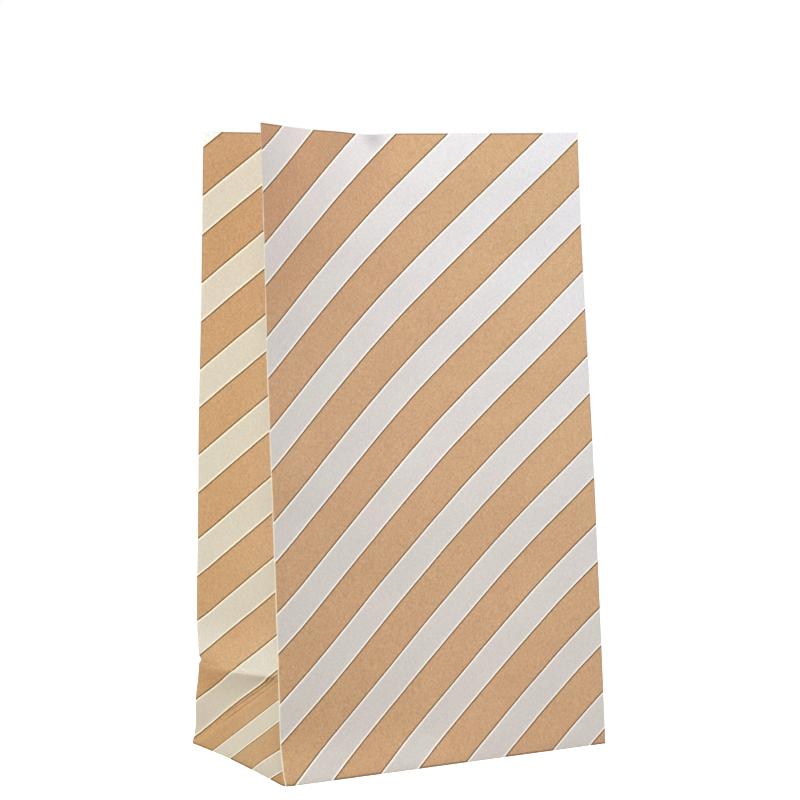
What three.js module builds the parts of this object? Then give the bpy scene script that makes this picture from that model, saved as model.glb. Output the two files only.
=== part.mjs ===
// Kraft paper bag with a square bottom and folded side gussets, open at the top.
// Millimetres, +Z up. The origin is the middle of the bottom, where the bag stands.
// The front panel faces -Y and the gussets face -X and +X.

import * as THREE from 'three';

// Driving dimensions
const WIDTH = 140;            // front and back panels, across the bottom
const DEPTH = 82;             // bottom from front to back, and the full width of a gusset
const HEIGHT = 240;           // paper height of every panel above the bottom
const WALL = 0.6;             // paper and its folds, drawn thick enough to be a solid

// How the opened bag has settled from a plain box: lengths at the mouth unless they say more
const FRONT_LEAN = 14.4;      // front panel leans back
const BACK_LEAN = 21.2;       // back panel leans forward
const BACK_CREASE_LEAN = 5.2; // and has leant this much at its cross crease
const FRONT_BOW = 10;         // middle of the front panel is drawn in
const BOW_SHIFT = 0.3;        // how far to the left the bow is deepest
const BACK_BULGE = 2;         // middle of the back panel stands out
const SWAY = -2.6;            // the mouth has shifted to the left
const MOUTH_TUCK = 33.5;      // centre crease of each gusset lies inside its folds
const FOOT_TUCK = 20;         // the same at the cross crease

// Soft dent beside the mouth of the front panel, where a thumb opened it:
// place and spread are shares of the width
const DENT = { depth: 3.5, place: 0.27, spread: 0.3, reach: 25 };

// Grid of the faces
const PANEL_COLUMNS = 14;     // across the front, and across the back
const HALF_GUSSET_COLUMNS = 5;
const UPPER_ROWS = 16;        // above the cross crease

const KRAFT = 0xcba27a;

const HALF_GUSSET = DEPTH / 2;
const CREASE = HALF_GUSSET;   // the cross crease lies half the depth above the bottom
const GUSSET_COLUMNS = 2 * HALF_GUSSET_COLUMNS;
const LOWER_ROWS = HALF_GUSSET_COLUMNS;

const aboveCrease = (v) => (v - CREASE) / (HEIGHT - CREASE);
const vec = (x, y, z) => new THREE.Vector3(x, y, z);
const range = (count) => Array.from({ length: count }, (_, i) => i);

// Lean of the back panel towards the inside, at paper height v
function backLean(v) {
  if (v < CREASE) return BACK_CREASE_LEAN * v / CREASE;
  return BACK_CREASE_LEAN + (BACK_LEAN - BACK_CREASE_LEAN) * aboveCrease(v);
}

// A leaning strip of paper keeps its length, so its top comes down a little
const leaningHeight = (v, lean) => (v > 0 ? Math.sqrt(v * v - lean * lean) : 0);

// Panel points: s runs from the left fold (0) to the right fold (1)

function frontPoint(s, v) {
  const rise = v / HEIGHT;
  const bow = FRONT_BOW * rise;
  const chord = WIDTH - 8 * bow * bow / (3 * WIDTH);   // a bowed sheet spans less
  const bowShape = 4 * s * (1 - s) * (1 - BOW_SHIFT * (2 * s - 1));
  const across = (s - DENT.place) / DENT.spread;
  const dent = DENT.depth * Math.exp(-across * across - (HEIGHT - v) / DENT.reach);
  const lean = FRONT_LEAN * rise + bow * bowShape;
  const x = SWAY * rise + chord * (s - 0.5);
  return vec(x, -DEPTH / 2 + lean + dent * rise, leaningHeight(v, lean));
}

function backPoint(s, v) {
  const rise = v / HEIGHT;
  const lean = backLean(v) - BACK_BULGE * rise * 4 * s * (1 - s);
  return vec(SWAY * rise + WIDTH * (s - 0.5), DEPTH / 2 - lean, leaningHeight(v, lean));
}

// Gusset points: side is -1 for the left gusset and +1 for the right one,
// w runs over its paper from the front fold (0) to the back fold (DEPTH)

function centreCrease(side, v) {
  const end = side < 0 ? 0 : 1;
  const folds = frontPoint(end, v).lerp(backPoint(end, v), 0.5);
  const tuck = FOOT_TUCK + (MOUTH_TUCK - FOOT_TUCK) * aboveCrease(v);
  return vec(folds.x - side * tuck, folds.y, 0);
}

// Top corner of the triangle that the gusset's foot makes with the bottom
function footApex(side) {
  const apex = centreCrease(side, CREASE);
  const inward = WIDTH / 2 - side * apex.x;
  apex.z = Math.sqrt(CREASE * CREASE - inward * inward);
  return apex;
}

function footPoint(side, w, v) {
  const up = v / CREASE;
  const apex = footApex(side);
  const base = vec(side * WIDTH / 2, w - DEPTH / 2, 0);
  const slope = apex.clone().sub(vec(side * WIDTH / 2, 0, 0));
  return base.addScaledVector(slope, up);
}

function gussetPoint(side, w, v) {
  const end = side < 0 ? 0 : 1;
  const inFront = w <= HALF_GUSSET;
  const fromFold = inFront ? w : DEPTH - w;
  const fold = inFront ? frontPoint(end, v) : backPoint(end, v);
  if (v <= CREASE) {
    if (v <= fromFold) return footPoint(side, w, v);
    const seam = footPoint(side, inFront ? v : DEPTH - v, v);
    return fold.lerp(seam, fromFold / v);
  }
  const crease = centreCrease(side, v);
  crease.z = footApex(side).z + (v - CREASE);
  return fold.lerp(crease, fromFold / HALF_GUSSET);
}

// One ring of points at paper height v, anticlockwise seen from above:
// along the front, the right gusset, the back and the left gusset
function ring(v) {
  const panel = range(PANEL_COLUMNS).map((i) => i / PANEL_COLUMNS);
  const gusset = range(GUSSET_COLUMNS).map((i) => DEPTH * i / GUSSET_COLUMNS);
  return [
    ...panel.map((s) => frontPoint(s, v)),
    ...gusset.map((w) => gussetPoint(1, w, v)),
    ...panel.map((s) => backPoint(1 - s, v)),
    ...gusset.map((w) => gussetPoint(-1, DEPTH - w, v)),
  ];
}

// The same ring moved inwards by the wall, mitred at each point
function insetRing(points) {
  const normals = points.map((p, i) => {
    const next = points[(i + 1) % points.length];
    return vec(p.y - next.y, next.x - p.x, 0).normalize();
  });
  return points.map((p, i) => {
    const before = normals[(i + points.length - 1) % points.length];
    const after = normals[i];
    const mitre = before.clone().add(after).multiplyScalar(WALL / (1 + before.dot(after)));
    return p.clone().add(mitre);
  });
}

// Paper heights of the rows: the lower ones make the foot creases run through grid points
const rowHeights = [
  ...range(LOWER_ROWS).map((j) => CREASE * j / LOWER_ROWS),
  ...range(UPPER_ROWS + 1).map((j) => CREASE + (HEIGHT - CREASE) * j / UPPER_ROWS),
];
const RING_SIZE = 2 * (PANEL_COLUMNS + GUSSET_COLUMNS);

// A column of the grid whose quads are cut from lower right to upper left. The others are
// cut from lower left to upper right, so both foot creases of a gusset stay sharp.
function cutsLeft(column) {
  const onGusset = column % (PANEL_COLUMNS + GUSSET_COLUMNS) - PANEL_COLUMNS;
  return onGusset >= HALF_GUSSET_COLUMNS;
}

class SolidBuilder {
  constructor() {
    this.positions = [];
    this.indices = [];
  }

  addPoint(p) {
    this.positions.push(p.x, p.y, p.z);
    return this.positions.length / 3 - 1;
  }

  addPoints(points) {
    return points.map((p) => this.addPoint(p));
  }

  // Corners run anticlockwise seen from the outside
  addQuad(a, b, c, d, cutLeft = false) {
    if (cutLeft) this.indices.push(a, b, d, b, c, d);
    else this.indices.push(a, b, c, a, c, d);
  }

  // Band between two rings of points, faces out unless it is flipped
  addBand(lower, upper, flipped = false) {
    for (const i of range(lower.length)) {
      const j = (i + 1) % lower.length;
      if (flipped) this.addQuad(lower[j], lower[i], upper[i], upper[j], !cutsLeft(i));
      else this.addQuad(lower[i], lower[j], upper[j], upper[i], cutsLeft(i));
    }
  }

  // Flat grid that closes a bottom ring, facing down unless it is flipped
  addFloor(ringIds, ringPoints, flipped = false) {
    const frontAt = (i) => i;
    const rightAt = (j) => PANEL_COLUMNS + j;
    const backAt = (i) => 2 * PANEL_COLUMNS + GUSSET_COLUMNS - i;
    const leftAt = (j) => (RING_SIZE - j) % RING_SIZE;
    const grid = range(GUSSET_COLUMNS + 1).map((j) => range(PANEL_COLUMNS + 1).map((i) => {
      if (j === 0) return ringIds[frontAt(i)];
      if (j === GUSSET_COLUMNS) return ringIds[backAt(i)];
      if (i === 0) return ringIds[leftAt(j)];
      if (i === PANEL_COLUMNS) return ringIds[rightAt(j)];
      return this.addPoint(vec(ringPoints[frontAt(i)].x, ringPoints[rightAt(j)].y, ringPoints[0].z));
    }));
    for (const j of range(GUSSET_COLUMNS)) {
      for (const i of range(PANEL_COLUMNS)) {
        const corners = [grid[j][i], grid[j + 1][i], grid[j + 1][i + 1], grid[j][i + 1]];
        if (flipped) corners.reverse();
        this.addQuad(...corners);
      }
    }
  }

  geometry() {
    const geometry = new THREE.BufferGeometry();
    geometry.setAttribute('position', new THREE.Float32BufferAttribute(this.positions, 3));
    geometry.setIndex(this.indices);
    geometry.computeVertexNormals();
    return geometry;
  }
}

function makeBag() {
  const builder = new SolidBuilder();
  const outerPoints = rowHeights.map((v) => ring(v));
  const innerPoints = rowHeights.map((v) => insetRing(ring(Math.max(v, WALL))));
  innerPoints[0].forEach((p) => { p.z = WALL; });
  const outer = outerPoints.map((points) => builder.addPoints(points));
  const inner = innerPoints.map((points) => builder.addPoints(points));
  const top = rowHeights.length - 1;

  for (const row of range(top)) {
    builder.addBand(outer[row], outer[row + 1]);
    builder.addBand(inner[row], inner[row + 1], true);
  }
  builder.addBand(outer[top], inner[top]);
  builder.addFloor(outer[0], outerPoints[0]);
  builder.addFloor(inner[0], innerPoints[0], true);

  const material = new THREE.MeshStandardMaterial({ color: KRAFT, roughness: 0.85, metalness: 0 });
  const mesh = new THREE.Mesh(builder.geometry(), material);
  mesh.name = 'bag';
  return mesh;
}

const object = new THREE.Group();
object.add(makeBag());

export default object;
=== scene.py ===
# Kraft paper bag with slanting pale stripes: the visible paper, its materials, light and camera.
# The shapes are worked out in millimetres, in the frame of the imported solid, and stored in metres.

import math
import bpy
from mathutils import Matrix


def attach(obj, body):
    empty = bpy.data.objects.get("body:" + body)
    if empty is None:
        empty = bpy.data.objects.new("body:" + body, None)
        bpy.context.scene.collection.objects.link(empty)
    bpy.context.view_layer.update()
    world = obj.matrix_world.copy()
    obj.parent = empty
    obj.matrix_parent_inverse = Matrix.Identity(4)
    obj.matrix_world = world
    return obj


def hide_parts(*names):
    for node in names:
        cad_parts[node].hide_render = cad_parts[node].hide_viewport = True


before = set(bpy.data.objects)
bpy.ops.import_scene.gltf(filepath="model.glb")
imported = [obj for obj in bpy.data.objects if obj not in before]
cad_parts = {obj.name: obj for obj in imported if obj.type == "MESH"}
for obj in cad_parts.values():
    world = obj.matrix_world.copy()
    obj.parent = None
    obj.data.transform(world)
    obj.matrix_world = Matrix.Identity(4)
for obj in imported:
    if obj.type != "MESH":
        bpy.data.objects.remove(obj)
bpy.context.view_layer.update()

from types import SimpleNamespace

import bpy
from mathutils import Matrix, Vector, noise

MM = 0.001
FAR = 500.0                    # millimetres, for a distance to a crease that a panel has not got

# ---- Driving dimensions, as in the solid ----
WIDTH = 140.0
DEPTH = 82.0
HEIGHT = 240.0
HALF_GUSSET = DEPTH / 2
CREASE = HALF_GUSSET           # grid row of the cross crease and of the top of the foot's triangle

# How the opened bag has settled, as in the solid
FRONT_LEAN = 14.4
BACK_LEAN = 21.2
BACK_CREASE_LEAN = 5.2
FRONT_BOW = 10.0
BOW_SHIFT = 0.3
BACK_BULGE = 2.0
SWAY = -2.6
MOUTH_TUCK = 33.5
FOOT_TUCK = 20.0
DENT_DEPTH, DENT_PLACE, DENT_SPREAD, DENT_REACH = 3.5, 0.27, 0.3, 25.0

# ---- Finer shape of the real sheet ----
PAPER = 0.12                   # thickness of the paper as drawn
FOLD = 0.6                     # a fold is rounded over this much paper on both of its sides
GRID = 2.3                     # spacing of the mesh away from the folds
BASE_RISE = 0.45               # upper layer of the bottom, over the two flaps
BASE_RIM, BASE_RIM_RISE = 0.75 * FOLD, 0.02   # its outermost strip, and how high that lies
MITRE_REACH = 3 * FOLD         # the bottom fold turns a corner over this much of both panels
SHARP_ANGLE = 50               # degrees, edges that turn by more are drawn sharp
BOTTOM_DIP = (FOLD + BASE_RISE) / 2   # keeps the rounded bottom fold on the table
FLAP_DEPTH = 48.0              # the two flaps under the bottom overlap past its middle
FLAP_PAPER = 0.15
FLAP_GAP = 0.9                 # a flap starts behind the rounded bottom fold
FLAP_COLUMNS, FLAP_ROWS = 40, 14
APEX = 37.2                    # paper height of the top of the foot's triangle
# Cross crease: its paper height at the two back folds
BACK_LEFT_CREASE = 33.8
BACK_RIGHT_CREASE = 36.0
CROSS_SAG = 1.8                # how far it hangs between a fold and the apex
# Front folds out of line: (paper height, shift towards the back)
LEFT_DRIFT = ((0, 0.0), (12, 2.1), (30, 1.7), (71, 0.7), (115, 0.15), (157, -0.2), (185, -1.4),
              (215, -2.5), (HEIGHT, -4.0))
RIGHT_DRIFT = ((0, 0.0), (64, -0.2), (110, -0.2), (150, 0.4), (194, 1.0), (HEIGHT, 0.2))
# Back left fold out of line: (paper height, shift towards the right)
BACK_LEFT_DRIFT = ((0, -1.5), (6, -0.5), (18, -0.85), (30, -0.1), (50, -1.1), (90, -1.1),
                   (134, -1.05), (167, -0.6), (HEIGHT, -0.3))
NOTCH_DEPTH, NOTCH_PLACE, NOTCH_REACH = 1.4, 34.9, 1.1   # pinch in that fold by the cross crease
# Cut of the mouth: (share of the width, paper beyond HEIGHT)
MOUTH_CUT = ((0.0, 0.0), (0.08, -0.3), (0.17, -0.7), (0.28, -0.9), (0.37, -1.5), (0.44, -0.9),
             (0.62, -0.45), (0.89, -0.2), (1.0, 0.0))
GUSSET_CUT = 3.4               # the gusset's paper reaches this much higher at its centre crease
GUSSET_PINCH = 2.36            # the left gusset's crease lies this much further in at the mouth
CUT_ZONE = 40.0                # the grid takes up the cut over this much of the top
# Foot of a gusset: its bottom edge is drawn in, its triangle and the strip above are hollow
FOOT_BOW = 0.8
HOLLOW_DEPTH, HOLLOW_W, HOLLOW_V, HOLLOW_SPREAD = 2.0, 22.0, 12.0, 12.0
FOOT_HOLLOW = 1.3
RIDGE_HOLLOW, RIDGE_REACH = 0.9, 14.0   # the gusset falls back above its cross crease
# The front left corner of the bottom is blunt
BLUNT_REACH, BLUNT_HEIGHT = 4.0, 6.0
# Slight unevenness of the whole sheet: (depth, size of one wave)
WAVES = ((0.30, 42.0), (0.10, 15.0))
WAVE_FADE = 14.0               # the waves die away over this much paper beside a fold

# ---- Print ----
SLANT = 0.8902                 # fall of a stripe for each unit across the front
HIDDEN_SLANT = 0.8778          # the same on the right gusset and the back
LEFT_SLANT = 0.9701            # and on the left gusset, counted from the front fold
LEFT_START, LEFT_STRETCH = -0.52, 0.9939   # shift and stretch of that print up the gusset
PITCH = 33.059                 # from one stripe to the next, up a fold
FIRST_EDGE = -103.65           # print height where a brown stripe starts
KRAFT_SHARE = 0.559            # share of the pitch that stays brown
# The stripes bend a little with the sheet: towards the middle, more on one side, up and down
WARP_BOW, WARP_TWIST, WARP_RISE, WARP_SAG = -2.762, 0.533, -1.185, 0.363
WARP_TOP, WARP_TWIST_TOP, WARP_TWIST_WAVE = 1.01, 2.0, -2.1
FOLD_PULL, FOLD_PULL_RISE, FOLD_PULL_REACH = 0.8, 2.2, 9.6   # and rise towards the front left fold
# On the left gusset the crumpled sheet pulls them out of line: up round the cross crease, down at
# the front corner and up beside it. (depth, paper from the front fold, paper height, spread)
LEFT_PULLS = ((-2.6, 66, 24, 28), (-2.2, 26, 52, 20), (2.6, 4, 6, 14), (-2.0, 25, 12, 9))
# Lines along a stripe's edge: how far they are at full strength, and how far they reach
DARK_RIM_CORE, DARK_RIM = 0.28, 0.7
BRIGHT_RIM_CORE, BRIGHT_RIM = 0.45, 0.9
EDGE_WOBBLE = 0.2              # the edges of the print are a little uneven
# The front left fold is drawn pale, partly rubbed paper and partly a painted highlight: core, reach
# and strength, and the least of it along the fold
FOLD_WEAR_AND_HIGHLIGHT_CORE, FOLD_WEAR_AND_HIGHLIGHT, FOLD_WEAR_AND_HIGHLIGHT_SHARE, LEAST_WEAR_AND_HIGHLIGHT = 0.25, 0.8, 0.95, 0.55
CREASE_LINES = (0.3, 2.2)      # two fine dark lines of painted shade just above a slanting crease
CREASE_LINE = 0.45             # reach of each, fading out towards the upright fold
CREASE_FADE_CORE, CREASE_FADE, LEAST_CREASE = 6.0, 24.0, 0.3
CROSS_LINE, CROSS_LINE_SHARE = 1.2, 0.15   # faint line of painted shade along the cross crease
CUT_CORE, CUT_LINE, CUT_SHARE = 0.25, 0.7, 0.6   # painted shade: thin dark line along the sheet's outlines
BOTTOM_CURL = 0.25             # of the paper above the bottom fold is turned out of sight


def curve(points, place):
    """Smooth curve through (place, value) pairs."""
    if place <= points[0][0]:
        return points[0][1]
    slopes = [(b[1] - a[1]) / (b[0] - a[0]) for a, b in zip(points, points[1:])]
    for i, ((x0, y0), (x1, y1)) in enumerate(zip(points, points[1:])):
        if place <= x1:
            before = (slopes[max(i - 1, 0)] + slopes[i]) / 2
            after = (slopes[i] + slopes[min(i + 1, len(slopes) - 1)]) / 2
            t, span = (place - x0) / (x1 - x0), x1 - x0
            return (y0 * (1 + 2 * t) * (1 - t) ** 2 + y1 * t * t * (3 - 2 * t)
                    + span * t * (1 - t) * (before * (1 - t) - after * t))
    return points[-1][1]


def soft_step(t):
    t = min(max(t, 0.0), 1.0)
    return t * t * (3 - 2 * t)


def leaning_height(v, lean):
    return math.sqrt(v * v - lean * lean) if v > 0 else 0.0


def cut_blend(row):
    return soft_step((row - (HEIGHT - CUT_ZONE)) / CUT_ZONE)


# ---- Points of the sharp-folded sheet ----
# s runs over a panel from its left fold (0) to its right fold (1), v is the paper height

def front_point(s, v):
    rise = v / HEIGHT
    bow = FRONT_BOW * rise
    chord = WIDTH - 8 * bow * bow / (3 * WIDTH)
    bow_shape = 4 * s * (1 - s) * (1 - BOW_SHIFT * (2 * s - 1))
    across = (s - DENT_PLACE) / DENT_SPREAD
    dent = DENT_DEPTH * math.exp(-across * across - (HEIGHT - v) / DENT_REACH)
    lean = FRONT_LEAN * rise + bow * bow_shape
    drift = curve(LEFT_DRIFT, v) * (1 - s) ** 2 + curve(RIGHT_DRIFT, v) * s ** 2
    x = SWAY * rise + chord * (s - 0.5)
    return Vector((x, -DEPTH / 2 + lean + dent * rise + drift, leaning_height(v, lean)))


def back_crease(s):
    return BACK_LEFT_CREASE + (BACK_RIGHT_CREASE - BACK_LEFT_CREASE) * s


def cross_height(end, share):
    """Paper height of a gusset's cross crease, share runs from the back fold to the apex."""
    fold_crease = back_crease(end)
    sag = CROSS_SAG * (1 - (2 * share - 1) ** 4)
    return fold_crease + (APEX - fold_crease) * share - sag


def back_point(s, v):
    crease = back_crease(s)
    if v < crease:
        fold_lean = BACK_CREASE_LEAN * v / crease
    else:
        above = (v - crease) / (HEIGHT - crease)
        fold_lean = BACK_CREASE_LEAN + (BACK_LEAN - BACK_CREASE_LEAN) * above
    rise = v / HEIGHT
    lean = fold_lean - BACK_BULGE * rise * 4 * s * (1 - s)
    notch = NOTCH_DEPTH * math.exp(-((v - NOTCH_PLACE) / NOTCH_REACH) ** 2)
    drift = (curve(BACK_LEFT_DRIFT, v) + notch) * (1 - s) ** 3
    x = SWAY * rise + WIDTH * (s - 0.5) + drift
    return Vector((x, DEPTH / 2 - lean, leaning_height(v, lean)))


def centre_crease(side, v):
    end = 0 if side < 0 else 1
    above = (v - APEX) / (HEIGHT - APEX)
    folds = front_point(end, v).lerp(back_point(end, v), 0.5)
    tuck = FOOT_TUCK + (MOUTH_TUCK - FOOT_TUCK) * above
    if side < 0:
        tuck += GUSSET_PINCH * above
    return Vector((folds.x - side * tuck, folds.y, foot_apex_height(side) + v - APEX))


def foot_apex_height(side):
    end = 0 if side < 0 else 1
    folds = front_point(end, APEX).lerp(back_point(end, APEX), 0.5)
    inward = WIDTH / 2 - side * (folds.x - side * FOOT_TUCK)
    return math.sqrt(APEX * APEX - inward * inward)


def foot_point(side, w, row):
    """The triangle between the bottom and the two slanting creases of a gusset."""
    corner = Vector((side * WIDTH / 2, 0, 0))
    slope = centre_crease(side, APEX) - corner
    up = row / CREASE
    bow = FOOT_BOW * 4 * (w / DEPTH) * (1 - w / DEPTH) * (1 - up)
    from_middle = ((w - HOLLOW_W) ** 2 + (row - HOLLOW_V) ** 2) / HOLLOW_SPREAD ** 2
    hollow = HOLLOW_DEPTH * math.exp(-from_middle) * soft_step(row / HOLLOW_V)
    return Vector((side * (WIDTH / 2 - bow - hollow), w - DEPTH / 2, 0)) + slope * up


def gusset_point(side, w, row, v):
    if w <= HALF_GUSSET:
        return front_gusset_point(side, w, row)
    return back_gusset_point(side, w, row, v)


def front_gusset_point(side, w, row):
    if row <= w:
        return foot_point(side, w, row)
    fold = front_point(0 if side < 0 else 1, row)
    if row <= CREASE:
        return fold.lerp(foot_point(side, row, row), w / row)
    on_crease = centre_crease(side, centre_height(row) + GUSSET_CUT * cut_blend(row))
    return fold.lerp(on_crease, w / HALF_GUSSET)


def centre_height(row):
    """Paper height of a grid row on a gusset's centre crease."""
    return row - (CREASE - APEX) * (HEIGHT - row) / (HEIGHT - CREASE)


def back_gusset_point(side, w, row, v):
    """Flat strips between the bottom, the diagonal, the cross crease and the mouth."""
    end = 0 if side < 0 else 1
    from_fold = DEPTH - w
    share = from_fold / HALF_GUSSET
    fold_crease = back_crease(end)
    crease = cross_height(end, share)
    on_crease = back_point(end, fold_crease).lerp(centre_crease(side, APEX), share)
    on_crease.z -= fold_crease + (APEX - fold_crease) * share - crease
    if row <= CREASE:
        fold_v = row * fold_crease / CREASE
        straight_fold = foot_point(side, DEPTH, 0).lerp(back_point(end, fold_crease), row / CREASE)
        drift = (back_point(end, fold_v) - straight_fold) * (1 - share) ** 2
        if row <= from_fold:
            return foot_point(side, w, row) + drift
        up = (row - from_fold) / (CREASE - from_fold)
        hollow = FOOT_HOLLOW * 4 * up * (1 - up) * soft_step(4 * share) * soft_step(4 - 4 * share)
        inward = Vector((-side * hollow, 0, 0))
        return foot_point(side, w, from_fold).lerp(on_crease, up) + drift + inward
    at_mouth = back_point(end, HEIGHT).lerp(centre_crease(side, HEIGHT), share)
    up = (v - crease) / (HEIGHT - crease)
    fold_v = fold_crease + (HEIGHT - fold_crease) * up
    straight_fold = back_point(end, fold_crease).lerp(back_point(end, HEIGHT), up)
    drift = back_point(end, fold_v) - straight_fold
    above = (v - crease) / RIDGE_REACH
    hollow = RIDGE_HOLLOW * above * math.exp(1 - above) * soft_step(8 * share)
    inward = Vector((-side * hollow, 0, 0))
    return on_crease.lerp(at_mouth, up) + drift * (1 - share) + inward


# ---- Stations: where the grid lines lie ----

def stations(length):
    """Distances over one strip, closer together at both of its ends."""
    inner = length - 2 * FOLD
    count = round(inner / GRID)
    return ([0.0, FOLD / 2] + [FOLD + inner * i / count for i in range(count + 1)]
            + [length - FOLD / 2, length])


half = stations(HALF_GUSSET)
panel_stations = stations(WIDTH)
gusset_stations = half + [DEPTH - d for d in reversed(half[:-1])]
upper_inner = HEIGHT - CREASE - FOLD
upper_count = round(upper_inner / GRID)
row_stations = half + [CREASE + FOLD / 2] + [
    CREASE + FOLD + upper_inner * i / upper_count for i in range(upper_count + 1)]
crease_row = len(half) - 1

PANELS = (("front", WIDTH, panel_stations), ("right", DEPTH, gusset_stations),
          ("back", WIDTH, panel_stations), ("left", DEPTH, gusset_stations))
INWARD = {"front": Vector((0, 1, 0)), "right": Vector((-1, 0, 0)),
          "back": Vector((0, -1, 0)), "left": Vector((1, 0, 0))}


def paper_height(panel, d, row):
    """Paper height of a grid row on a panel: the cross crease and the cut mouth bend the rows."""
    if panel == "front":
        return row + curve(MOUTH_CUT, d / WIDTH) * cut_blend(row)
    if panel == "back":
        crease = back_crease(1 - d / WIDTH)
        if row <= CREASE:
            return row * crease / CREASE
        return crease + (row - CREASE) * (HEIGHT - crease) / (HEIGHT - CREASE)
    w = d if panel == "right" else DEPTH - d
    from_fold = min(w, DEPTH - w)
    share = from_fold / HALF_GUSSET
    cut = GUSSET_CUT * share * cut_blend(row)
    if row <= from_fold:
        return row * APEX / CREASE
    if w <= HALF_GUSSET:
        return row - share * (CREASE - APEX) * min(1.0, (HEIGHT - row) / (HEIGHT - CREASE)) + cut
    diagonal, crease = share * APEX, cross_height(1 if panel == "right" else 0, share)
    if row <= CREASE:
        return diagonal + (row - from_fold) * (crease - diagonal) / (CREASE - from_fold)
    return crease + (row - CREASE) * (HEIGHT - crease) / (HEIGHT - CREASE) + cut


def blunt_corner(panel, d, row):
    """Shift of a point near the front left bottom corner, where the paper turns in a round."""
    if panel == "front":
        from_corner, along = d, INWARD["left"]
    else:
        from_corner, along = DEPTH - d, INWARD["front"]
    turn = 0.5 + 0.5 * from_corner / BLUNT_REACH
    forward = along * (turn ** 2 * BLUNT_REACH - from_corner)
    inward = INWARD[panel] * (1 - turn) ** 2 * BLUNT_REACH
    return (forward + inward) * (1 - row / BLUNT_HEIGHT) ** 2


def waves(panel, d, row):
    """Slight unevenness of the paper, none along its folds."""
    length = WIDTH if panel in ("front", "back") else DEPTH
    places = [d, length - d, row]
    if length == DEPTH:
        places.append(abs(d - HALF_GUSSET))
    fade = soft_step(min(places) / WAVE_FADE)
    spot = Vector((paper_stretch(panel) + d, row, 0))
    height = sum(depth * noise.noise(spot / size) for depth, size in WAVES)
    return INWARD[panel] * (-2 * height * fade)


def sheet_point(panel, d, row):
    v = paper_height(panel, d, row)
    if panel == "front":
        point = front_point(d / WIDTH, v)
    elif panel == "back":
        point = back_point(1 - d / WIDTH, v)
    elif panel == "right":
        point = gusset_point(1, d, row, v)
    else:
        point = gusset_point(-1, DEPTH - d, row, v)
    point += waves(panel, d, row)
    near_corner = panel == "front" and d < BLUNT_REACH or panel == "left" and DEPTH - d < BLUNT_REACH
    if near_corner and row < BLUNT_HEIGHT:
        point += blunt_corner(panel, d, row)
    return point


def left_pull(w, v):
    """Shift of the left gusset's print where the sheet is crumpled."""
    return sum(depth * math.exp(-((w - x) ** 2 + (v - y) ** 2) / spread ** 2)
               for depth, x, y, spread in LEFT_PULLS)


def print_height(panel, d, v):
    """Height that sets the stripe's phase: the same along a whole stripe."""
    if panel == "front":
        s = d / WIDTH
        arch = 4 * s * (1 - s)
        rise = v / HEIGHT
        bow = WARP_BOW + WARP_RISE * rise + WARP_TOP * rise ** 2
        wave = math.sin(2 * math.pi * rise)
        twist = WARP_TWIST + WARP_TWIST_TOP * rise ** 2 + WARP_TWIST_WAVE * wave
        warp = arch * (bow + twist * (2 * s - 1)) + WARP_SAG * 4 * rise * (1 - rise)
        beside_fold = (FOLD_PULL + FOLD_PULL_RISE * rise ** 2) * math.exp(-d / FOLD_PULL_REACH)
        return v - SLANT * d + warp - beside_fold
    if panel == "right":
        return v - SLANT * WIDTH - HIDDEN_SLANT * d
    if panel == "back":
        return v - SLANT * WIDTH - HIDDEN_SLANT * (DEPTH + d)
    w = DEPTH - d
    return LEFT_STRETCH * v + LEFT_SLANT * w + LEFT_START + left_pull(w, v)


def crease_distances(panel, d, v):
    """Signed distances to the 45-degree creases and to the cross crease, for the material."""
    if v < 0 or panel == "front":
        return FAR, FAR
    if panel == "back":
        return FAR, v - back_crease(1 - d / WIDTH)
    w = d if panel == "right" else DEPTH - d
    from_fold = min(w, DEPTH - w)
    diagonal = (v - from_fold * APEX / HALF_GUSSET) * math.sqrt(0.5)
    if w <= HALF_GUSSET:
        return diagonal, FAR
    return diagonal, v - cross_height(1 if panel == "right" else 0, from_fold / HALF_GUSSET)


def fold_distances(panel, d, v):
    """Paper from a point to the nearest upright fold, and to the mouth or the foot."""
    length = WIDTH if panel in ("front", "back") else DEPTH
    edge = HEIGHT
    if panel == "front":
        edge += curve(MOUTH_CUT, d / WIDTH)
    elif panel != "back":
        edge += GUSSET_CUT * min(d, DEPTH - d) / HALF_GUSSET
    return min(d, length - d), min(edge - v, max(abs(v) - BOTTOM_CURL, 0.0))


def paper_stretch(panel):
    """Paper round the bag from the front left fold to the start of a panel."""
    return {"front": 0.0, "right": WIDTH, "back": WIDTH + DEPTH, "left": 2 * WIDTH + DEPTH}[panel]


# ---- The folded sheet as a mesh ----

def fillet(before, corner, after):
    """Points half a fold before, at and half a fold after a corner that a parabola rounds."""
    return (before * 0.5625 + corner * 0.375 + after * 0.0625,
            before * 0.25 + corner * 0.5 + after * 0.25,
            before * 0.0625 + corner * 0.375 + after * 0.5625)


def round_columns(grid, column):
    for row in grid:
        size = len(row)
        a, f, b = row[(column - 2) % size], row[column % size], row[(column + 2) % size]
        new = fillet(a, f, b)
        for step, point in zip((-1, 0, 1), new):
            row[(column + step) % size] = point


def round_rows(grid, index, columns):
    for c in columns:
        new = fillet(grid[index - 2][c], grid[index][c], grid[index + 2][c])
        for step, point in zip((-1, 0, 1), new):
            grid[index + step][c] = point


def mitre(panel, d):
    """Inward direction at the foot of a panel, turning towards the next panel near a corner."""
    order = [name for name, _, _ in PANELS]
    place = order.index(panel)
    length = PANELS[place][1]
    neighbour = order[place - 1] if d < length / 2 else order[(place + 1) % 4]
    share = max(0.0, 1 - min(d, length - d) / MITRE_REACH)
    return INWARD[panel] + INWARD[neighbour] * share


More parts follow.
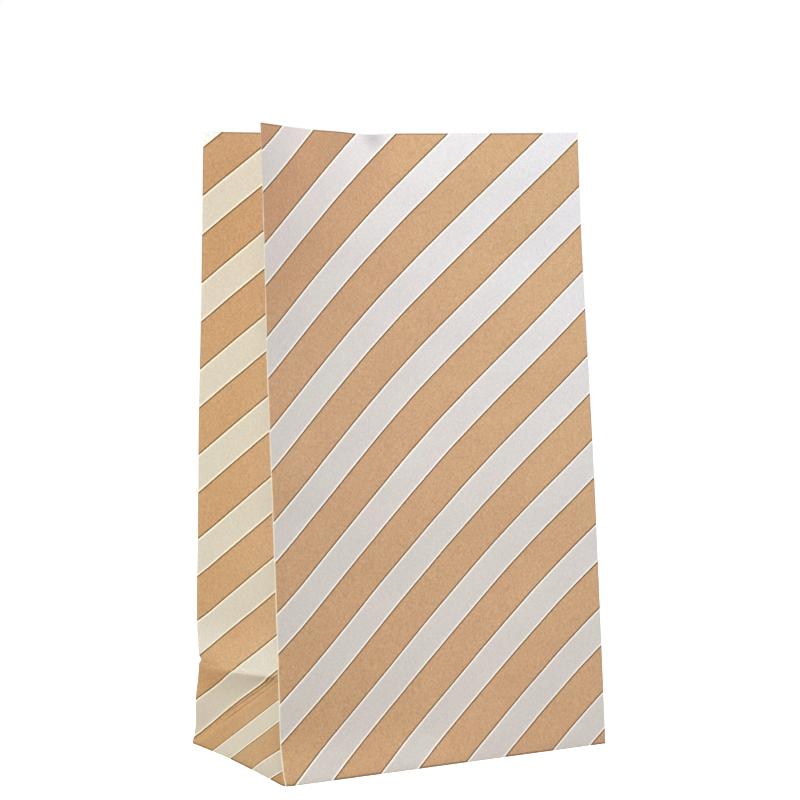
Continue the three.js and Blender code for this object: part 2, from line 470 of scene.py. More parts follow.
class Sheet:
    """Vertices and faces of folded paper, with the layers that its material reads."""

    def __init__(self):
        self.vertices, self.faces = [], []
        self.layers = {"print": [], "creases": [], "folds": []}

    def add_face(self, corners, spots, has_folds=True):
        """spots: (panel, d, paper height) at each corner"""
        self.faces.append(corners)
        for panel, d, v in spots:
            self.layers["print"].append((paper_stretch(panel) + d, print_height(panel, d, v)))
            self.layers["creases"].append(crease_distances(panel, d, v))
            self.layers["folds"].append(fold_distances(panel, d, v) if has_folds else (FAR, FAR))


def panel_starts():
    """Column of the grid where each panel starts."""
    starts, at = {}, 0
    for name, _, places in PANELS:
        starts[name] = at
        at += len(places) - 1
    return starts


def fold_grid(columns, starts):
    """Rows of points up the wall, with rounded folds and the bottom fold curled under."""
    grid = [[sheet_point(name, d, row) for name, d in columns] for row in row_stations]
    for name in starts:
        round_columns(grid, starts[name])
    for name in ("right", "left"):
        round_columns(grid, starts[name] + len(half) - 1)
    round_rows(grid, crease_row, range(starts["right"] + len(half) - 1, starts["left"] + len(half)))
    for c, (name, d) in enumerate(columns):
        corner = grid[0][c] - Vector((0, 0, BOTTOM_DIP))
        under = grid[0][c] + mitre(name, d) * FOLD + Vector((0, 0, BASE_RISE))
        grid[1][c], grid[0][c], _ = fillet(grid[2][c], corner, under)
    return grid


def crease_halves(name, length, near, far, row):
    """Corners of the two triangles of a quad that holds a piece of a 45-degree crease."""
    from_near, from_far = min(near, length - near), min(far, length - far)
    on_crease = abs(min(from_near, from_far) - row) < 1e-6
    if name not in ("right", "left") or row >= CREASE or not on_crease:
        return None
    return ((0, 1, 2), (0, 2, 3)) if from_far > from_near else ((0, 1, 3), (1, 2, 3))


def add_wall(sheet, size):
    """Faces between neighbouring rows and columns of the grid."""
    for j, (low, high) in enumerate(zip(row_stations, row_stations[1:])):
        c = 0
        for name, length, places in PANELS:
            for near, far in zip(places, places[1:]):
                after = (c + 1) % size
                corners = [j * size + c, j * size + after, (j + 1) * size + after, (j + 1) * size + c]
                spots = [(name, d, paper_height(name, d, row))
                         for d, row in ((near, low), (far, low), (far, high), (near, high))]
                whole = ((0, 1, 2, 3),)
                for part in crease_halves(name, length, near, far, low) or whole:
                    sheet.add_face([corners[q] for q in part], [spots[q] for q in part])
                c += 1


def add_bottom(sheet, starts):
    """Grid of the bottom between the four bottom folds."""
    across, deep = panel_stations, gusset_stations
    n, m = len(across) - 1, len(deep) - 1
    front_ids = [starts["front"] + i for i in range(n)] + [starts["right"]]
    right_ids = [starts["right"] + j for j in range(m)] + [starts["back"]]
    back_ids = [starts["left"]] + [starts["back"] + n - i for i in range(1, n + 1)]
    left_ids = [starts["front"]] + [starts["left"] + m - j for j in range(1, m + 1)]
    ids = {(i, 0): front_ids[i] for i in range(n + 1)}
    ids |= {(i, m): back_ids[i] for i in range(n + 1)}
    ids |= {(0, j): left_ids[j] for j in range(m + 1)}
    ids |= {(n, j): right_ids[j] for j in range(m + 1)}
    points = sheet.vertices
    for i in range(1, n):
        for j in range(1, m):
            a, b = across[i] / WIDTH, deep[j] / DEPTH
            between_sides = points[left_ids[j]].lerp(points[right_ids[j]], a)
            between_ends = points[front_ids[i]].lerp(points[back_ids[i]], b)
            front_line = points[front_ids[0]].lerp(points[front_ids[n]], a)
            back_line = points[back_ids[0]].lerp(points[back_ids[n]], a)
            point = between_sides + between_ends - front_line.lerp(back_line, b)
            edge = min(across[i], WIDTH - across[i], deep[j], DEPTH - deep[j])
            point.z = BASE_RISE if edge > BASE_RIM else BASE_RIM_RISE
            ids[i, j] = len(points)
            points.append(point)
    for i in range(n):
        for j in range(m):
            cell = [(i, j), (i, j + 1), (i + 1, j + 1), (i + 1, j)]
            name = nearest_panel((across[i] + across[i + 1]) / 2, (deep[j] + deep[j + 1]) / 2)
            spots = [(name, *under_panel(name, across[a], deep[b])) for a, b in cell]
            sheet.add_face([ids[spot] for spot in cell], spots)


def nearest_panel(x, y):
    """Panel whose paper a place of the bottom belongs to, x and y from its front left corner."""
    edges = {"front": y, "back": DEPTH - y, "left": x, "right": WIDTH - x}
    return min(edges, key=edges.get)


def under_panel(panel, x, y):
    """A point of the bottom, x and y from its front left corner, as paper below a panel."""
    return {"front": (x, -y), "back": (WIDTH - x, y - DEPTH),
            "left": (DEPTH - y, -x), "right": (y, x - WIDTH)}[panel]


def build_sheet():
    """The whole folded sheet without its flaps: four panels and the bottom."""
    columns = [(name, d) for name, _, places in PANELS for d in places[:-1]]
    starts = panel_starts()
    sheet = Sheet()
    sheet.vertices = [p for row in fold_grid(columns, starts) for p in row]
    for p in sheet.vertices:
        p.z = max(p.z, 0.0)
    add_wall(sheet, len(columns))
    add_bottom(sheet, starts)
    return sheet


def make_mesh(name, sheet, materials):
    mesh = bpy.data.meshes.new(name)
    mesh.from_pydata([p * MM for p in sheet.vertices], [], sheet.faces)
    for layer_name, values in sheet.layers.items():
        layer = mesh.uv_layers.new(name=layer_name)
        layer.data.foreach_set("uv", [x * MM for pair in values for x in pair])
    for material in materials:
        mesh.materials.append(material)
    mesh.polygons.foreach_set("use_smooth", [True] * len(mesh.polygons))
    mesh.validate()
    obj = bpy.data.objects.new(name, mesh)
    bpy.context.scene.collection.objects.link(obj)
    return obj


def thicken(obj, thickness):
    """Gives a sheet its thickness on the inside, with plain paper there and at its edges."""
    solidify = obj.modifiers.new("paper", "SOLIDIFY")
    solidify.thickness = thickness * MM
    solidify.offset = -1.0
    solidify.material_offset = 1
    solidify.material_offset_rim = 1
    depsgraph = bpy.context.evaluated_depsgraph_get()
    mesh = bpy.data.meshes.new_from_object(obj.evaluated_get(depsgraph))
    obj.modifiers.clear()
    thin = obj.data
    obj.data = mesh
    bpy.data.meshes.remove(thin)
    mesh.name = obj.name
    for vertex in mesh.vertices:
        vertex.co.z = max(vertex.co.z, 0.0)


# ---- Materials ----

class Graph:
    """Short way to write a node tree."""

    def __init__(self, tree):
        self.tree = tree

    def add(self, kind, inputs=None, **settings):
        node = self.tree.nodes.new(kind)
        for key, value in settings.items():
            setattr(node, key, value)
        for key, value in (inputs or {}).items():
            if isinstance(value, bpy.types.NodeSocket):
                self.tree.links.new(value, node.inputs[key])
            else:
                node.inputs[key].default_value = value
        return node

    def math(self, operation, a, b=0.0, c=0.0, clamp=False):
        node = self.add("ShaderNodeMath", {0: a, 1: b, 2: c}, operation=operation, use_clamp=clamp)
        return node.outputs[0]

    def separate(self, vector):
        return self.add("ShaderNodeSeparateXYZ", {0: vector}).outputs[:]

    def layer(self, name):
        """The two values of a UV layer."""
        return self.separate(self.add("ShaderNodeUVMap", uv_map=name).outputs[0])[:2]

    def near(self, distance, width, core=0.0):
        """1 as far as the core, falling softly to 0 at the width."""
        node = self.add("ShaderNodeMapRange", {
            "Value": distance, "From Min": core, "From Max": width, "To Min": 1.0, "To Max": 0.0,
        }, interpolation_type="SMOOTHSTEP")
        return node.outputs[0]

    def distance(self, coords, place):
        """Distance in metres from a place given in millimetres."""
        node = self.add("ShaderNodeVectorMath", {0: coords, 1: [c * MM for c in place]},
                        operation="DISTANCE")
        return node.outputs["Value"]

    def spread(self, value, low, high):
        """Noise, stretched to run from low to high."""
        node = self.add("ShaderNodeMapRange", {
            "Value": value, "From Min": 0.25, "From Max": 0.75, "To Min": low, "To Max": high})
        return node.outputs[0]

    def spread_mask(self, mask, low, high):
        """Low where the mask is 0, high where it is 1."""
        return self.math("MULTIPLY_ADD", mask, high - low, low)

    def noise(self, vector, scale, detail=2.0):
        node = self.add("ShaderNodeTexNoise", {
            "Vector": vector, "Scale": scale, "Detail": detail, "Roughness": 0.55})
        return node.outputs["Fac"]

    def mix(self, factor, a, b):
        node = self.add("ShaderNodeMix", {"Factor": factor}, data_type="RGBA", blend_type="MIX")
        for socket, value in (("A", a), ("B", b)):
            target = [s for s in node.inputs if s.name == socket and s.type == "RGBA"][0]
            if isinstance(value, bpy.types.NodeSocket):
                self.tree.links.new(value, target)
            else:
                target.default_value = (*value, 1.0)
        return [s for s in node.outputs if s.type == "RGBA"][0]

    def tinted(self, colour, mask, change):
        """The colour, multiplied by a change where the mask is 1."""
        factors = self.mix(mask, (1.0, 1.0, 1.0), change)
        node = self.add("ShaderNodeVectorMath", {0: colour, 1: factors}, operation="MULTIPLY")
        return node.outputs[0]

    def scale_colour(self, colour, factor):
        node = self.add("ShaderNodeVectorMath", {0: colour, "Scale": factor}, operation="SCALE")
        return node.outputs[0]


def srgb(red, green, blue):
    return tuple(((c / 255 + 0.055) / 1.055) ** 2.4 for c in (red, green, blue))


KRAFT = srgb(205, 168, 130)
KRAFT_ROSY = srgb(203, 161, 126)
KRAFT_FLECK_AND_SHADE = srgb(121, 88, 60)
KRAFT_RIM_AND_SHADE = srgb(108, 76, 50)
KRAFT_WORN_AND_LIT = srgb(255, 245, 228)
WHITE = srgb(214, 211, 205)
WHITE_ROSY = srgb(218, 208, 206)
WHITE_COOL_LIT = srgb(221, 220, 227)
WHITE_BRIGHT = srgb(255, 248, 237)
KRAFT_ROUGHNESS, KRAFT_GLOSS = 0.85, 0.3
INK_ROUGHNESS, INK_GLOSS = 0.45, 0.9
INK_THICKNESS = 0.012          # how far the white ink stands proud of the paper
CREASE_DEPTH = 0.1             # how deep the pressed lines are
GRAIN_DEPTH, FIBRE_RELIEF = 0.02, 0.6   # relief of the grain, and the fibres' part in it
# Fineness of the uneven colours and of the relief: higher is finer
MOTTLE_FINENESS, CLOUD_FINENESS, FIBRE_FINENESS, FLECK_FINENESS = 75.0, 240.0, 1500.0, 800.0
GRAIN_FINENESS, EDGE_FINENESS, INK_FINENESS = 700.0, 500.0, 60.0
FOLD_PATCH_FINENESS, CREASE_LINE_FINENESS = 150.0, 120.0
# How strong they are
MOTTLE, CLOUDS, INK_FIBRES = (0.2, 0.8), (0.98, 1.02), (0.89, 1.11)
GRAIN_DARK, GRAIN_PALE = (0.84, 0.77, 0.67), (1.16, 1.23, 1.33)
FIBRE_STRETCH = 0.8            # the fibres are a little longer than wide
FLECK_START, FLECK_FULL, FLECK_SHARE = 0.72, 0.80, 0.2
# The ink is painted a little brighter towards the top, right and back, painted light and sheen: its
# share at the middle of the bottom, and its gain for each metre
INK_LIGHT_MIDDLE, INK_LIGHT_RISE, INK_LIGHT_ACROSS, INK_LIGHT_DEEP = 1.0, 0.45, 0.75, 1.5
# Painted shade: the paper is drawn rosier towards the top left of the front, above this height and
# for each metre across and up. It is drawn darker towards the left, and on a gusset's foot.
ROSY_SHADE_START, ROSY_SHADE_GAIN = 60.0, -67.0
SHADE_ACROSS, FRONT_DEPTH = 0.6, 35.0
FOOT_SOFT, FOOT_SHADE_TINT = 3.0, (0.87, 0.85, 0.82)
# A gusset's paper is painted paler just above its cross crease, painted light, and darker just below,
# painted shade: how far at full strength, how far it reaches, and the tint
ABOVE_CORE, ABOVE_REACH, ABOVE_LIGHT_TINT = 7.0, 24.0, (1.13, 1.18, 1.24)
BELOW_CORE, BELOW_REACH, BELOW_SHADE_TINT = 3.0, 18.0, (0.94, 0.91, 0.88)
CROSS_SOFT = 1.7               # the change between the two, to either side of the crease
# Painted shade and light along the front left fold, darker at its top and foot and paler between:
# middle of each place, reach and tint
FRONT_LEFT_SHADING = (((-72.0, -25.0, 230.0), 85.0, (0.95, 0.91, 0.90)),
           ((-70.0, -33.0, 135.0), 60.0, (1.03, 1.05, 1.07)),
           ((-55.0, -38.0, 25.0), 75.0, (0.97, 0.96, 0.92)))
# Painted shade on the paper beside the mouth and on the ink there, and a cool painted highlight on
# the ink at the back left corner: middle of each, how far it reaches, and its strength or colour
MOUTH_SHADE_PLACE, MOUTH_SHADE_REACH, MOUTH_SHADE_SHARE = (-30.0, -20.0, 237.0), 26.0, 0.14
INK_MOUTH_SHADE_PLACE, INK_MOUTH_SHADE_REACH, INK_MOUTH_SHADE_SHARE = (-18.5, -15.5, 236.2), 7.0, 0.28
INK_HIGHLIGHT_PLACE, INK_HIGHLIGHT_REACH, INK_HIGHLIGHT = (-72.0, 19.0, 241.0), 20.0, (0.83, 0.90, 0.97)
# Painted cool light: the ink is drawn cooler towards the top right: where it starts, and gain for
# each metre
COOL_LIGHT_START, COOL_LIGHT_RISE, COOL_LIGHT_ACROSS = -0.48, 4.0, 5.0
# Painted light deep in a gusset: the paper is drawn less orange there, against the orange light that
# bounces between its halves: from how far behind the fold, and its tint there
VALLEY_START, VALLEY_END, VALLEY_LIGHT_TINT = 10.0, 35.0, (1.05, 1.12, 1.27)


def kraft_colour(g, coords):
    """Brown paper and its fibres: soft mottling, short upright fibres and a few faint flecks, and
    painted shade that makes the front rosier and darker towards its top left.
    """
    stretched = g.add("ShaderNodeMapping", {"Vector": coords, "Scale": (1.0, 1.0, FIBRE_STRETCH)})
    fibres = g.noise(stretched.outputs[0], FIBRE_FINENESS, 3.0)
    x, y, z = g.separate(coords)
    # This runs from left to right on the front, and hardly changes on the gussets
    rightward = g.math("ADD", x, g.math("ADD", y, FRONT_DEPTH * MM))
    patches = g.spread(g.noise(coords, MOTTLE_FINENESS, 3.0), *MOTTLE)
    # painted shade: the paper is drawn rosier towards the top left of the front
    above = g.math("MULTIPLY_ADD", z, ROSY_SHADE_GAIN, -ROSY_SHADE_GAIN * ROSY_SHADE_START * MM)
    rosy_and_shade = g.math("MULTIPLY_ADD", rightward, above, patches, clamp=True)
    tint = g.mix(rosy_and_shade, KRAFT, KRAFT_ROSY)
    grain = g.mix(g.spread(fibres, 0.0, 1.0), GRAIN_DARK, GRAIN_PALE)
    grained = g.add("ShaderNodeVectorMath", {0: tint, 1: grain}, operation="MULTIPLY")
    clouds = g.spread(g.noise(coords, CLOUD_FINENESS, 3.0), *CLOUDS)
    # painted shade: the paper is drawn darker towards the left, over its random clouds
    tone_and_shade = g.math("MULTIPLY", clouds, g.math("MULTIPLY_ADD", rightward, SHADE_ACROSS, 1.0))
    flecks = g.add("ShaderNodeMapRange", {
        "Value": g.noise(stretched.outputs[0], FLECK_FINENESS, 1.0),
        "From Min": FLECK_START, "From Max": FLECK_FULL, "To Min": 0.0, "To Max": FLECK_SHARE})
    shaded = g.scale_colour(grained.outputs[0], tone_and_shade)
    return g.mix(flecks.outputs[0], shaded, KRAFT_FLECK_AND_SHADE), fibres


def new_paper(name):
    material = bpy.data.materials.new(name)
    material.use_nodes = True
    tree = material.node_tree
    tree.nodes.clear()
    g = Graph(tree)
    coords = g.add("ShaderNodeTexCoord").outputs["Object"]
    return material, g, coords


def finish_paper(g, coords, colour, fibres, roughness, gloss, relief=None):
    """Shader of the paper; relief is a height in metres that the fine grain is added to."""
    grain = g.noise(coords, GRAIN_FINENESS, 3.0)
    grain = g.math("ADD", grain, g.math("MULTIPLY", fibres, FIBRE_RELIEF))
    height = g.math("MULTIPLY", grain, GRAIN_DEPTH * MM)
    if relief is not None:
        height = g.math("ADD", height, relief)
    bump = g.add("ShaderNodeBump", {"Strength": 1.0, "Distance": 1.0, "Height": height})
    shader = g.add("ShaderNodeBsdfPrincipled", {
        "Base Color": colour, "Roughness": roughness, "Specular IOR Level": gloss,
        "Normal": bump.outputs["Normal"]})
    g.add("ShaderNodeOutputMaterial", {"Surface": shader.outputs[0]})


def stripes(g, coords):
    """Where the ink is, and the thin dark and the thin pale line along its edges."""
    height = g.layer("print")[1]
    uneven = g.math("SUBTRACT", g.noise(coords, EDGE_FINENESS, 2.0), 0.5)
    height = g.math("ADD", height, g.math("MULTIPLY", uneven, EDGE_WOBBLE * MM))
    turns = g.math("DIVIDE", g.math("SUBTRACT", height, FIRST_EDGE * MM), PITCH * MM)
    phase = g.math("FRACT", turns)
    white = g.math("GREATER_THAN", phase, KRAFT_SHARE)
    to_whole = g.math("MINIMUM", phase, g.math("SUBTRACT", 1.0, phase))
    to_share = g.math("ABSOLUTE", g.math("SUBTRACT", phase, KRAFT_SHARE))
    across = math.cos(math.atan(SLANT)) * PITCH * MM
    edge = g.math("MULTIPLY", g.math("MINIMUM", to_whole, to_share), across)
    dark_rim = g.near(edge, DARK_RIM * MM, DARK_RIM_CORE * MM)
    bright_rim = g.near(edge, BRIGHT_RIM * MM, BRIGHT_RIM_CORE * MM)
    return white, dark_rim, bright_rim


def sheet_places(g, coords):
    """Distances over the sheet, and masks of the parts of it that look different."""
    from_slant, from_cross = g.layer("creases")
    from_fold, to_cut = g.layer("folds")
    x, y, _ = g.separate(coords)
    in_gusset = g.math("LESS_THAN", from_slant, FAR / 2 * MM)
    beside_fold = g.near(from_fold, VALLEY_END * MM, VALLEY_START * MM)
    is_above = g.math("MULTIPLY", in_gusset, g.near(from_cross, -CROSS_SOFT * MM, CROSS_SOFT * MM))
    is_below = g.math("SUBTRACT", in_gusset, is_above)
    above = g.near(from_cross, ABOVE_REACH * MM, ABOVE_CORE * MM)
    below = g.near(g.math("ABSOLUTE", from_cross), BELOW_REACH * MM, BELOW_CORE * MM)
    return SimpleNamespace(
        from_slant=from_slant, from_cross=from_cross, from_fold=from_fold, to_cut=to_cut,
        in_gusset=in_gusset,
        valley=g.math("SUBTRACT", in_gusset, beside_fold, clamp=True),
        on_foot=g.near(from_slant, 0.0, -FOOT_SOFT * MM),
        above=g.math("MULTIPLY", is_above, above),
        below=g.math("MULTIPLY", is_below, below),
        pale_fold_side=g.math("MULTIPLY", g.math("LESS_THAN", x, 0.0), g.math("LESS_THAN", y, 0.0)))


def shaded_kraft(g, coords, kraft, sheet):
    """The brown paper with painted light and shade: paler and darker places, and painted shade beside
    the mouth.
    """
    # painted light and shade: bluer deep in a gusset, darker on its foot, paler above and darker
    # below its cross crease
    for mask, change in ((sheet.valley, VALLEY_LIGHT_TINT), (sheet.on_foot, FOOT_SHADE_TINT),
                         (sheet.above, ABOVE_LIGHT_TINT), (sheet.below, BELOW_SHADE_TINT)):
        kraft = g.tinted(kraft, mask, change)
    # painted shade and light along the front left fold
    for middle, reach, change in FRONT_LEFT_SHADING:
        kraft = g.tinted(kraft, g.near(g.distance(coords, middle), reach * MM), change)
    # painted shade beside the mouth
    mouth_shade = g.near(g.distance(coords, MOUTH_SHADE_PLACE), MOUTH_SHADE_REACH * MM)
    return g.scale_colour(kraft, g.spread_mask(mouth_shade, 1.0, 1.0 - MOUTH_SHADE_SHARE))


def ink_colour(g, coords, fibres, sheet):
    """White ink with its rosier places, and painted light and shade: cooler towards the top right, a
    highlight, shade beside the mouth and by the cross crease, brighter towards the top.
    """
    x, y, z = g.separate(coords)
    tint = g.mix(g.spread(g.noise(coords, INK_FINENESS, 2.0), 0.0, 1.0), WHITE, WHITE_ROSY)
    # painted cool light towards the top right
    cool_light = g.math("MULTIPLY_ADD", z, COOL_LIGHT_RISE, COOL_LIGHT_START)
    cool_light = g.math("MULTIPLY_ADD", x, COOL_LIGHT_ACROSS, cool_light, clamp=True)
    tint = g.mix(cool_light, tint, WHITE_COOL_LIT)
    # painted highlight at the back left corner
    highlight = g.near(g.distance(coords, INK_HIGHLIGHT_PLACE), INK_HIGHLIGHT_REACH * MM, INK_HIGHLIGHT_REACH / 2 * MM)
    tint = g.mix(g.math("MULTIPLY", highlight, sheet.in_gusset), tint, INK_HIGHLIGHT)
    # painted shade on the ink beside the mouth
    mouth_shade = g.near(g.distance(coords, INK_MOUTH_SHADE_PLACE), INK_MOUTH_SHADE_REACH * MM)
    tint = g.scale_colour(tint, g.spread_mask(mouth_shade, 1.0, 1.0 - INK_MOUTH_SHADE_SHARE))
    # painted light above and painted shade below the cross crease
    for mask, change in ((sheet.above, ABOVE_LIGHT_TINT), (sheet.below, BELOW_SHADE_TINT)):
        tint = g.tinted(tint, mask, change)
    # painted light and sheen: the ink is drawn brighter towards the top, right and back
    painted_ink_light = g.math("MULTIPLY_ADD", x, INK_LIGHT_ACROSS, INK_LIGHT_MIDDLE)
    painted_ink_light = g.math("MULTIPLY_ADD", y, INK_LIGHT_DEEP, painted_ink_light)
    painted_ink_light = g.math("MULTIPLY_ADD", z, INK_LIGHT_RISE, painted_ink_light)
    return g.scale_colour(tint, g.math("MULTIPLY", painted_ink_light, g.spread(fibres, *INK_FIBRES)))


def outline_shade(g, sheet):
    """Painted shade: thin dark line along the mouth, the bottom and the folds, but for the front left
    fold.
    """
    distance = g.math("MINIMUM", sheet.to_cut, g.math("ADD", sheet.from_fold, sheet.pale_fold_side))
    return g.math("MULTIPLY", g.near(distance, CUT_LINE * MM, CUT_CORE * MM), CUT_SHARE)


def fold_wear_and_highlight(g, coords, sheet):
    """Where the front left fold is drawn pale: partly rubbed paper, partly a painted highlight."""
    patchy = g.spread(g.noise(coords, FOLD_PATCH_FINENESS, 3.0), LEAST_WEAR_AND_HIGHLIGHT, 1.0)
    wear_and_highlight = g.near(sheet.from_fold, FOLD_WEAR_AND_HIGHLIGHT * MM, FOLD_WEAR_AND_HIGHLIGHT_CORE * MM)
    wear_and_highlight = g.math("MULTIPLY", g.math("MULTIPLY", wear_and_highlight, patchy), sheet.pale_fold_side)
    return g.math("MULTIPLY", wear_and_highlight, FOLD_WEAR_AND_HIGHLIGHT_SHARE)


def crease_lines(g, coords, sheet):
    """Creases pressed into the gussets and the back, with dark lines of painted shade along them."""
    pair = g.math("MINIMUM", *[
        g.math("ABSOLUTE", g.math("SUBTRACT", sheet.from_slant, line * MM))
        for line in CREASE_LINES])
    line_strength = g.spread(g.noise(coords, CREASE_LINE_FINENESS, 2.0), LEAST_CREASE, 1.0)
    beside_fold = g.near(sheet.from_fold, CREASE_FADE * MM, CREASE_FADE_CORE * MM)
    line_strength = g.math("SUBTRACT", line_strength, beside_fold, clamp=True)
    slanting = g.math("MULTIPLY", g.near(pair, CREASE_LINE * MM), line_strength)
    cross = g.near(g.math("ABSOLUTE", sheet.from_cross), CROSS_LINE * MM)
    return g.math("MAXIMUM", slanting, g.math("MULTIPLY", cross, CROSS_LINE_SHARE))


def striped_paper():
    """The printed side of the sheet."""
    material, g, coords = new_paper("striped_kraft_paper")
    kraft, fibres = kraft_colour(g, coords)
    white, dark_rim, bright_rim = stripes(g, coords)
    sheet = sheet_places(g, coords)
    # painted shade along the outlines, with the print's dark rims
    dark = g.math("MAXIMUM", dark_rim, outline_shade(g, sheet))
    brown = g.mix(dark, shaded_kraft(g, coords, kraft, sheet), KRAFT_RIM_AND_SHADE)
    pale = g.mix(bright_rim, ink_colour(g, coords, fibres, sheet), WHITE_BRIGHT)
    colour = g.mix(white, brown, pale)
    # pale front left fold: wear and a painted highlight
    colour = g.mix(fold_wear_and_highlight(g, coords, sheet), colour, KRAFT_WORN_AND_LIT)
    lines = crease_lines(g, coords, sheet)
    # painted shade along the creases
    colour = g.mix(lines, colour, KRAFT_FLECK_AND_SHADE)

    relief = g.math("SUBTRACT", g.math("MULTIPLY", white, INK_THICKNESS * MM),
                    g.math("MULTIPLY", lines, CREASE_DEPTH * MM))
    roughness = g.spread_mask(white, KRAFT_ROUGHNESS, INK_ROUGHNESS)
    gloss = g.spread_mask(white, KRAFT_GLOSS, INK_GLOSS)
    finish_paper(g, coords, colour, fibres, roughness, gloss, relief)
    return material


def plain_paper():
    """The inside of the sheet and its cut edges."""
    material, g, coords = new_paper("plain_kraft_paper")
    kraft, fibres = kraft_colour(g, coords)
    finish_paper(g, coords, kraft, fibres, KRAFT_ROUGHNESS, KRAFT_GLOSS)
    return material


striped, plain = striped_paper(), plain_paper()

# ---- Pieces ----
bag = make_mesh("bag_paper", build_sheet(), (striped, plain))
thicken(bag, PAPER)
bag.data.set_sharp_from_angle(angle=math.radians(SHARP_ANGLE))
pieces = [bag]


# ---- Flaps pasted under the bottom ----

def make_flap(panel, height):
    """Trapezoid folded in from the front or the back, its lower face at the given height."""
    middle = WIDTH / 2
    sheet, spots = Sheet(), []
    for j in range(FLAP_ROWS + 1):
        deep = FLAP_GAP + (FLAP_DEPTH - FLAP_GAP) * j / FLAP_ROWS
        reach = middle - FLAP_GAP / 2 - deep
        y = deep if panel == "front" else DEPTH - deep
        for i in range(FLAP_COLUMNS + 1):
            x = middle + reach * (2 * i / FLAP_COLUMNS - 1)
            sheet.vertices.append(Vector((x - middle, y - DEPTH / 2, height)))
            spots.append((panel, *under_panel(panel, x, y)))
    for j in range(FLAP_ROWS):
        for i in range(FLAP_COLUMNS):
            a = j * (FLAP_COLUMNS + 1) + i
            corners = [a, a + FLAP_COLUMNS + 1, a + FLAP_COLUMNS + 2, a + 1]
            if panel == "back":
                corners.reverse()
            sheet.add_face(corners, [spots[c] for c in corners], has_folds=False)
    flap = make_mesh("bottom_flap_" + panel, sheet, (striped, plain))
    thicken(flap, FLAP_PAPER)
    return flap


pieces += [make_flap("front", 0.0), make_flap("back", FLAP_PAPER)]
for piece in pieces:
    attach(piece, "root")
    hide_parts("bag")


# ---- Floor, light and camera: metres and degrees here, millimetres where it says so ----
FLOOR_REACH, FLOOR_ALBEDO, FLOOR_GLOW = 6.0, 0.5, 0.9
FILL_LIGHT = 0.27              # brightness of the studio as the bag sees it
LAMP_SIZE = 0.5
# Lamps: name, place, share of a white sheet's brightness, colour
LAMPS = (("key", (-0.6, -0.85, 1.0), 0.40, (1.10, 1.0, 0.82)),
         ("fill", (0.35, -0.85, 0.5), 0.155, (0.70, 1.0, 1.42)),
         ("left", (-1.1, 0.1, 0.7), 0.36, (0.95, 1.0, 0.70)),
         ("top", (0.1, -0.1, 1.3), 0.86, (1.10, 1.0, 0.92)))
AZIMUTH, ELEVATION, ROLL = -28.597, 3.669, -0.318
# Millimetres: from the bag's axis, to the right, and height that the camera aims at
CAMERA_DISTANCE, CAMERA_SIDE_STEP, AIM_HEIGHT = 818.35, 0.732, 135.66
SENSOR = 36.0                  # millimetres
FOCAL_PIXELS, PICTURE_PIXELS = 2096.3, 800   # focal length and width of the picture
CLIP_START, CLIP_END = 0.01, 50.0


def make_floor():
    """White card: the camera sees it almost as bright as the background."""
    mesh = bpy.data.meshes.new("floor")
    corners = [(x * FLOOR_REACH, y * FLOOR_REACH, 0) for x, y in ((-1, -1), (1, -1), (1, 1), (-1, 1))]
    mesh.from_pydata(corners, [], [(0, 1, 2, 3)])
    material = bpy.data.materials.new("floor")
    material.use_nodes = True
    tree = material.node_tree
    tree.nodes.clear()
    g = Graph(tree)
    card = g.add("ShaderNodeBsdfDiffuse", {"Color": (FLOOR_ALBEDO,) * 3 + (1.0,)})
    glow = g.add("ShaderNodeEmission", {"Color": (1.0, 1.0, 1.0, 1.0), "Strength": FLOOR_GLOW})
    seen = g.add("ShaderNodeAddShader", {0: card.outputs[0], 1: glow.outputs[0]})
    path = g.add("ShaderNodeLightPath")
    mix = g.add("ShaderNodeMixShader", {
        0: path.outputs["Is Camera Ray"], 1: card.outputs[0], 2: seen.outputs[0]})
    g.add("ShaderNodeOutputMaterial", {"Surface": mix.outputs[0]})
    mesh.materials.append(material)
    floor = bpy.data.objects.new("floor", mesh)
    bpy.context.scene.collection.objects.link(floor)


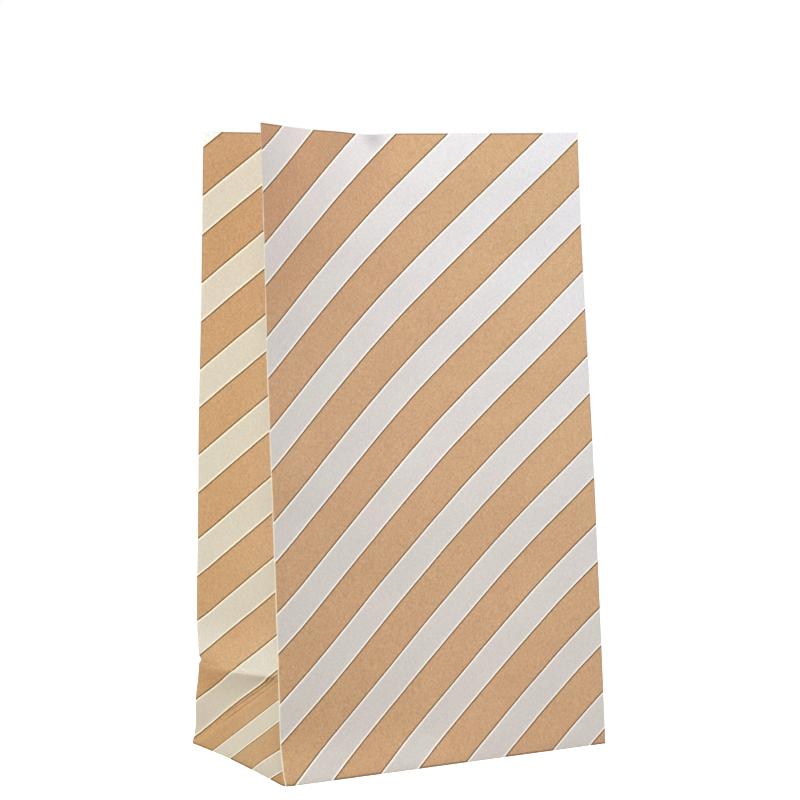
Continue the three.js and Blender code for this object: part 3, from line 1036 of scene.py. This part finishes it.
def make_world():
    """White studio: the camera sees pure white, the bag is lit by a softer fill."""
    world = bpy.data.worlds.new("studio")
    world.use_nodes = True
    tree = world.node_tree
    tree.nodes.clear()
    g = Graph(tree)
    seen = g.add("ShaderNodeBackground", {"Color": (1.0, 1.0, 1.0, 1.0), "Strength": 1.0})
    lit = g.add("ShaderNodeBackground", {"Color": (1.0, 1.0, 1.0, 1.0), "Strength": FILL_LIGHT})
    path = g.add("ShaderNodeLightPath")
    mix = g.add("ShaderNodeMixShader", {
        0: path.outputs["Is Camera Ray"], 1: lit.outputs[0], 2: seen.outputs[0]})
    g.add("ShaderNodeOutputWorld", {"Surface": mix.outputs[0]})
    bpy.context.scene.world = world


def make_light(name, place, share, colour):
    """Square soft light; share is the part of a white sheet's brightness that it gives."""
    place, aim = Vector(place), Vector((0.0, 0.0, HEIGHT / 2 * MM))
    lamp = bpy.data.lights.new(name, "AREA")
    lamp.shape = "SQUARE"
    lamp.size = LAMP_SIZE
    lamp.energy = share * math.pi ** 2 * (aim - place).length_squared
    lamp.color = colour
    light = bpy.data.objects.new(name, lamp)
    light.location = place
    light.rotation_euler = (aim - place).to_track_quat("-Z", "Y").to_euler()
    bpy.context.scene.collection.objects.link(light)


def make_camera():
    """The camera that took the picture."""
    azimuth, elevation, roll = (math.radians(a) for a in (AZIMUTH, ELEVATION, ROLL))
    back = Vector((math.sin(azimuth) * math.cos(elevation),
                   -math.cos(azimuth) * math.cos(elevation), math.sin(elevation)))
    right = Vector((math.cos(azimuth), math.sin(azimuth), 0))
    up = back.cross(right)
    place = back * CAMERA_DISTANCE + right * CAMERA_SIDE_STEP + Vector((0, 0, AIM_HEIGHT))
    x_axis = right * math.cos(roll) + up * math.sin(roll)
    y_axis = up * math.cos(roll) - right * math.sin(roll)
    lens = bpy.data.cameras.new("camera")
    lens.sensor_width = SENSOR
    lens.lens = SENSOR * FOCAL_PIXELS / PICTURE_PIXELS
    lens.clip_start, lens.clip_end = CLIP_START, CLIP_END
    camera = bpy.data.objects.new("camera", lens)
    turn = Matrix((x_axis, y_axis, back)).transposed().to_4x4()
    camera.matrix_world = Matrix.Translation(place * MM) @ turn
    bpy.context.scene.collection.objects.link(camera)
    bpy.context.scene.camera = camera


make_floor()
make_world()
for lamp in LAMPS:
    make_light(*lamp)
make_camera()
bpy.context.scene.view_settings.view_transform = "Standard"
